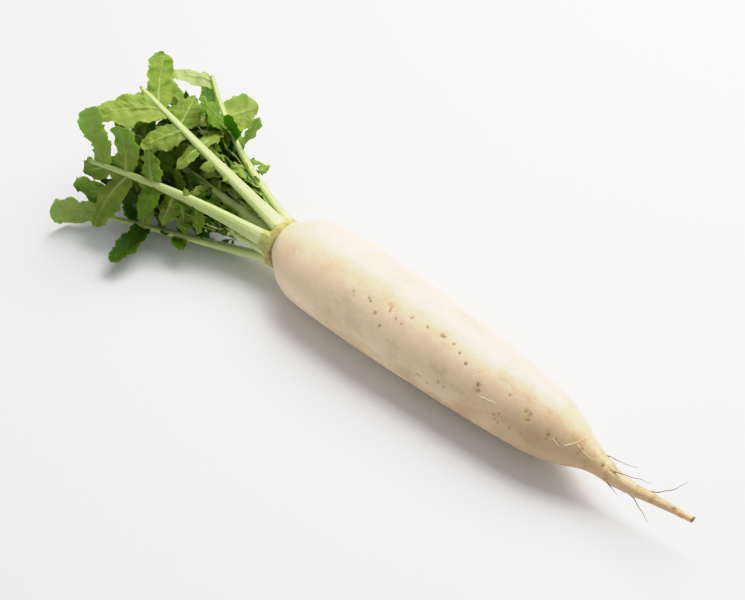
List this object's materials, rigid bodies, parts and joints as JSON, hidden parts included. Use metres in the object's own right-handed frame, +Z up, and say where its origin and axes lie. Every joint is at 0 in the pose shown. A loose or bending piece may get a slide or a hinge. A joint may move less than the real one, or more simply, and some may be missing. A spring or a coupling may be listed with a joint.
{
  "type": "daikon radish",
  "caption": "Long white daikon radish root with a thin tail and hair roots, and a bunch of trimmed green leaves, lying on its side.",
  "frame": {"origin": "on the surface that the root rests on, below the middle of the thick part of the root", "axes": "+X down the root towards its tail, +Y across the root, +Z up"},
  "size_m": [0.5524, 0.1739, 0.118],
  "materials": {
    "skin": "smooth, slightly glossy cream-white root skin, browner in the small scars and at the cut tail",
    "stalk": "smooth ribbed leaf stalk, pale green-white at its base and greener towards its tip",
    "blade": "thin leaf blade, dark green above and paler grey-green with raised veins below",
    "hair": "dry tan hair root"
  },
  "bodies": {
    "root": {"hair_root_1": "hair", "hair_root_2": "hair", "hair_root_3": "hair", "hair_root_4": "hair", "hair_root_5": "hair", "leaflet_bottom_1": "blade", "leaflet_bottom_2": "blade", "leaflet_bottom_3": "blade", "leaflet_bottom_4": "blade", "leaflet_bottom_5": "blade", "leaflet_far_1": "blade", "leaflet_far_2": "blade", "leaflet_far_3": "blade", "leaflet_far_4": "blade", "leaflet_far_5": "blade", "leaflet_far_6": "blade", "leaflet_far_7": "blade", "leaflet_inner_1": "blade", "leaflet_inner_2": "blade", "leaflet_inner_3": "blade", "leaflet_inner_4": "blade", "leaflet_low_far_1": "blade", "leaflet_low_far_2": "blade", "leaflet_low_far_3": "blade", "leaflet_low_far_4": "blade", "leaflet_low_middle_1": "blade", "leaflet_low_middle_2": "blade", "leaflet_low_middle_3": "blade", "leaflet_low_middle_4": "blade", "leaflet_low_near_1": "blade", "leaflet_low_near_2": "blade", "leaflet_low_near_3": "blade", "leaflet_low_near_4": "blade", "leaflet_near_1": "blade", "leaflet_near_2": "blade", "leaflet_near_3": "blade", "leaflet_near_4": "blade", "leaflet_near_5": "blade", "leaflet_near_6": "blade", "leaflet_near_7": "blade", "leaflet_upper_1": "blade", "leaflet_upper_2": "blade", "leaflet_upper_3": "blade", "leaflet_upper_4": "blade", "leaflet_upper_5": "blade", "leaflet_upper_6": "blade", "leaflet_young_1": "blade", "leaflet_young_2": "blade", "leaflet_young_3": "blade", "root": "skin", "stalk_bottom": "stalk", "stalk_far": "stalk", "stalk_inner": "stalk", "stalk_low_far": "stalk", "stalk_low_middle": "stalk", "stalk_low_near": "stalk", "stalk_near": "stalk", "stalk_upper": "stalk", "stalk_young": "stalk"}
  },
  "joints": []
}
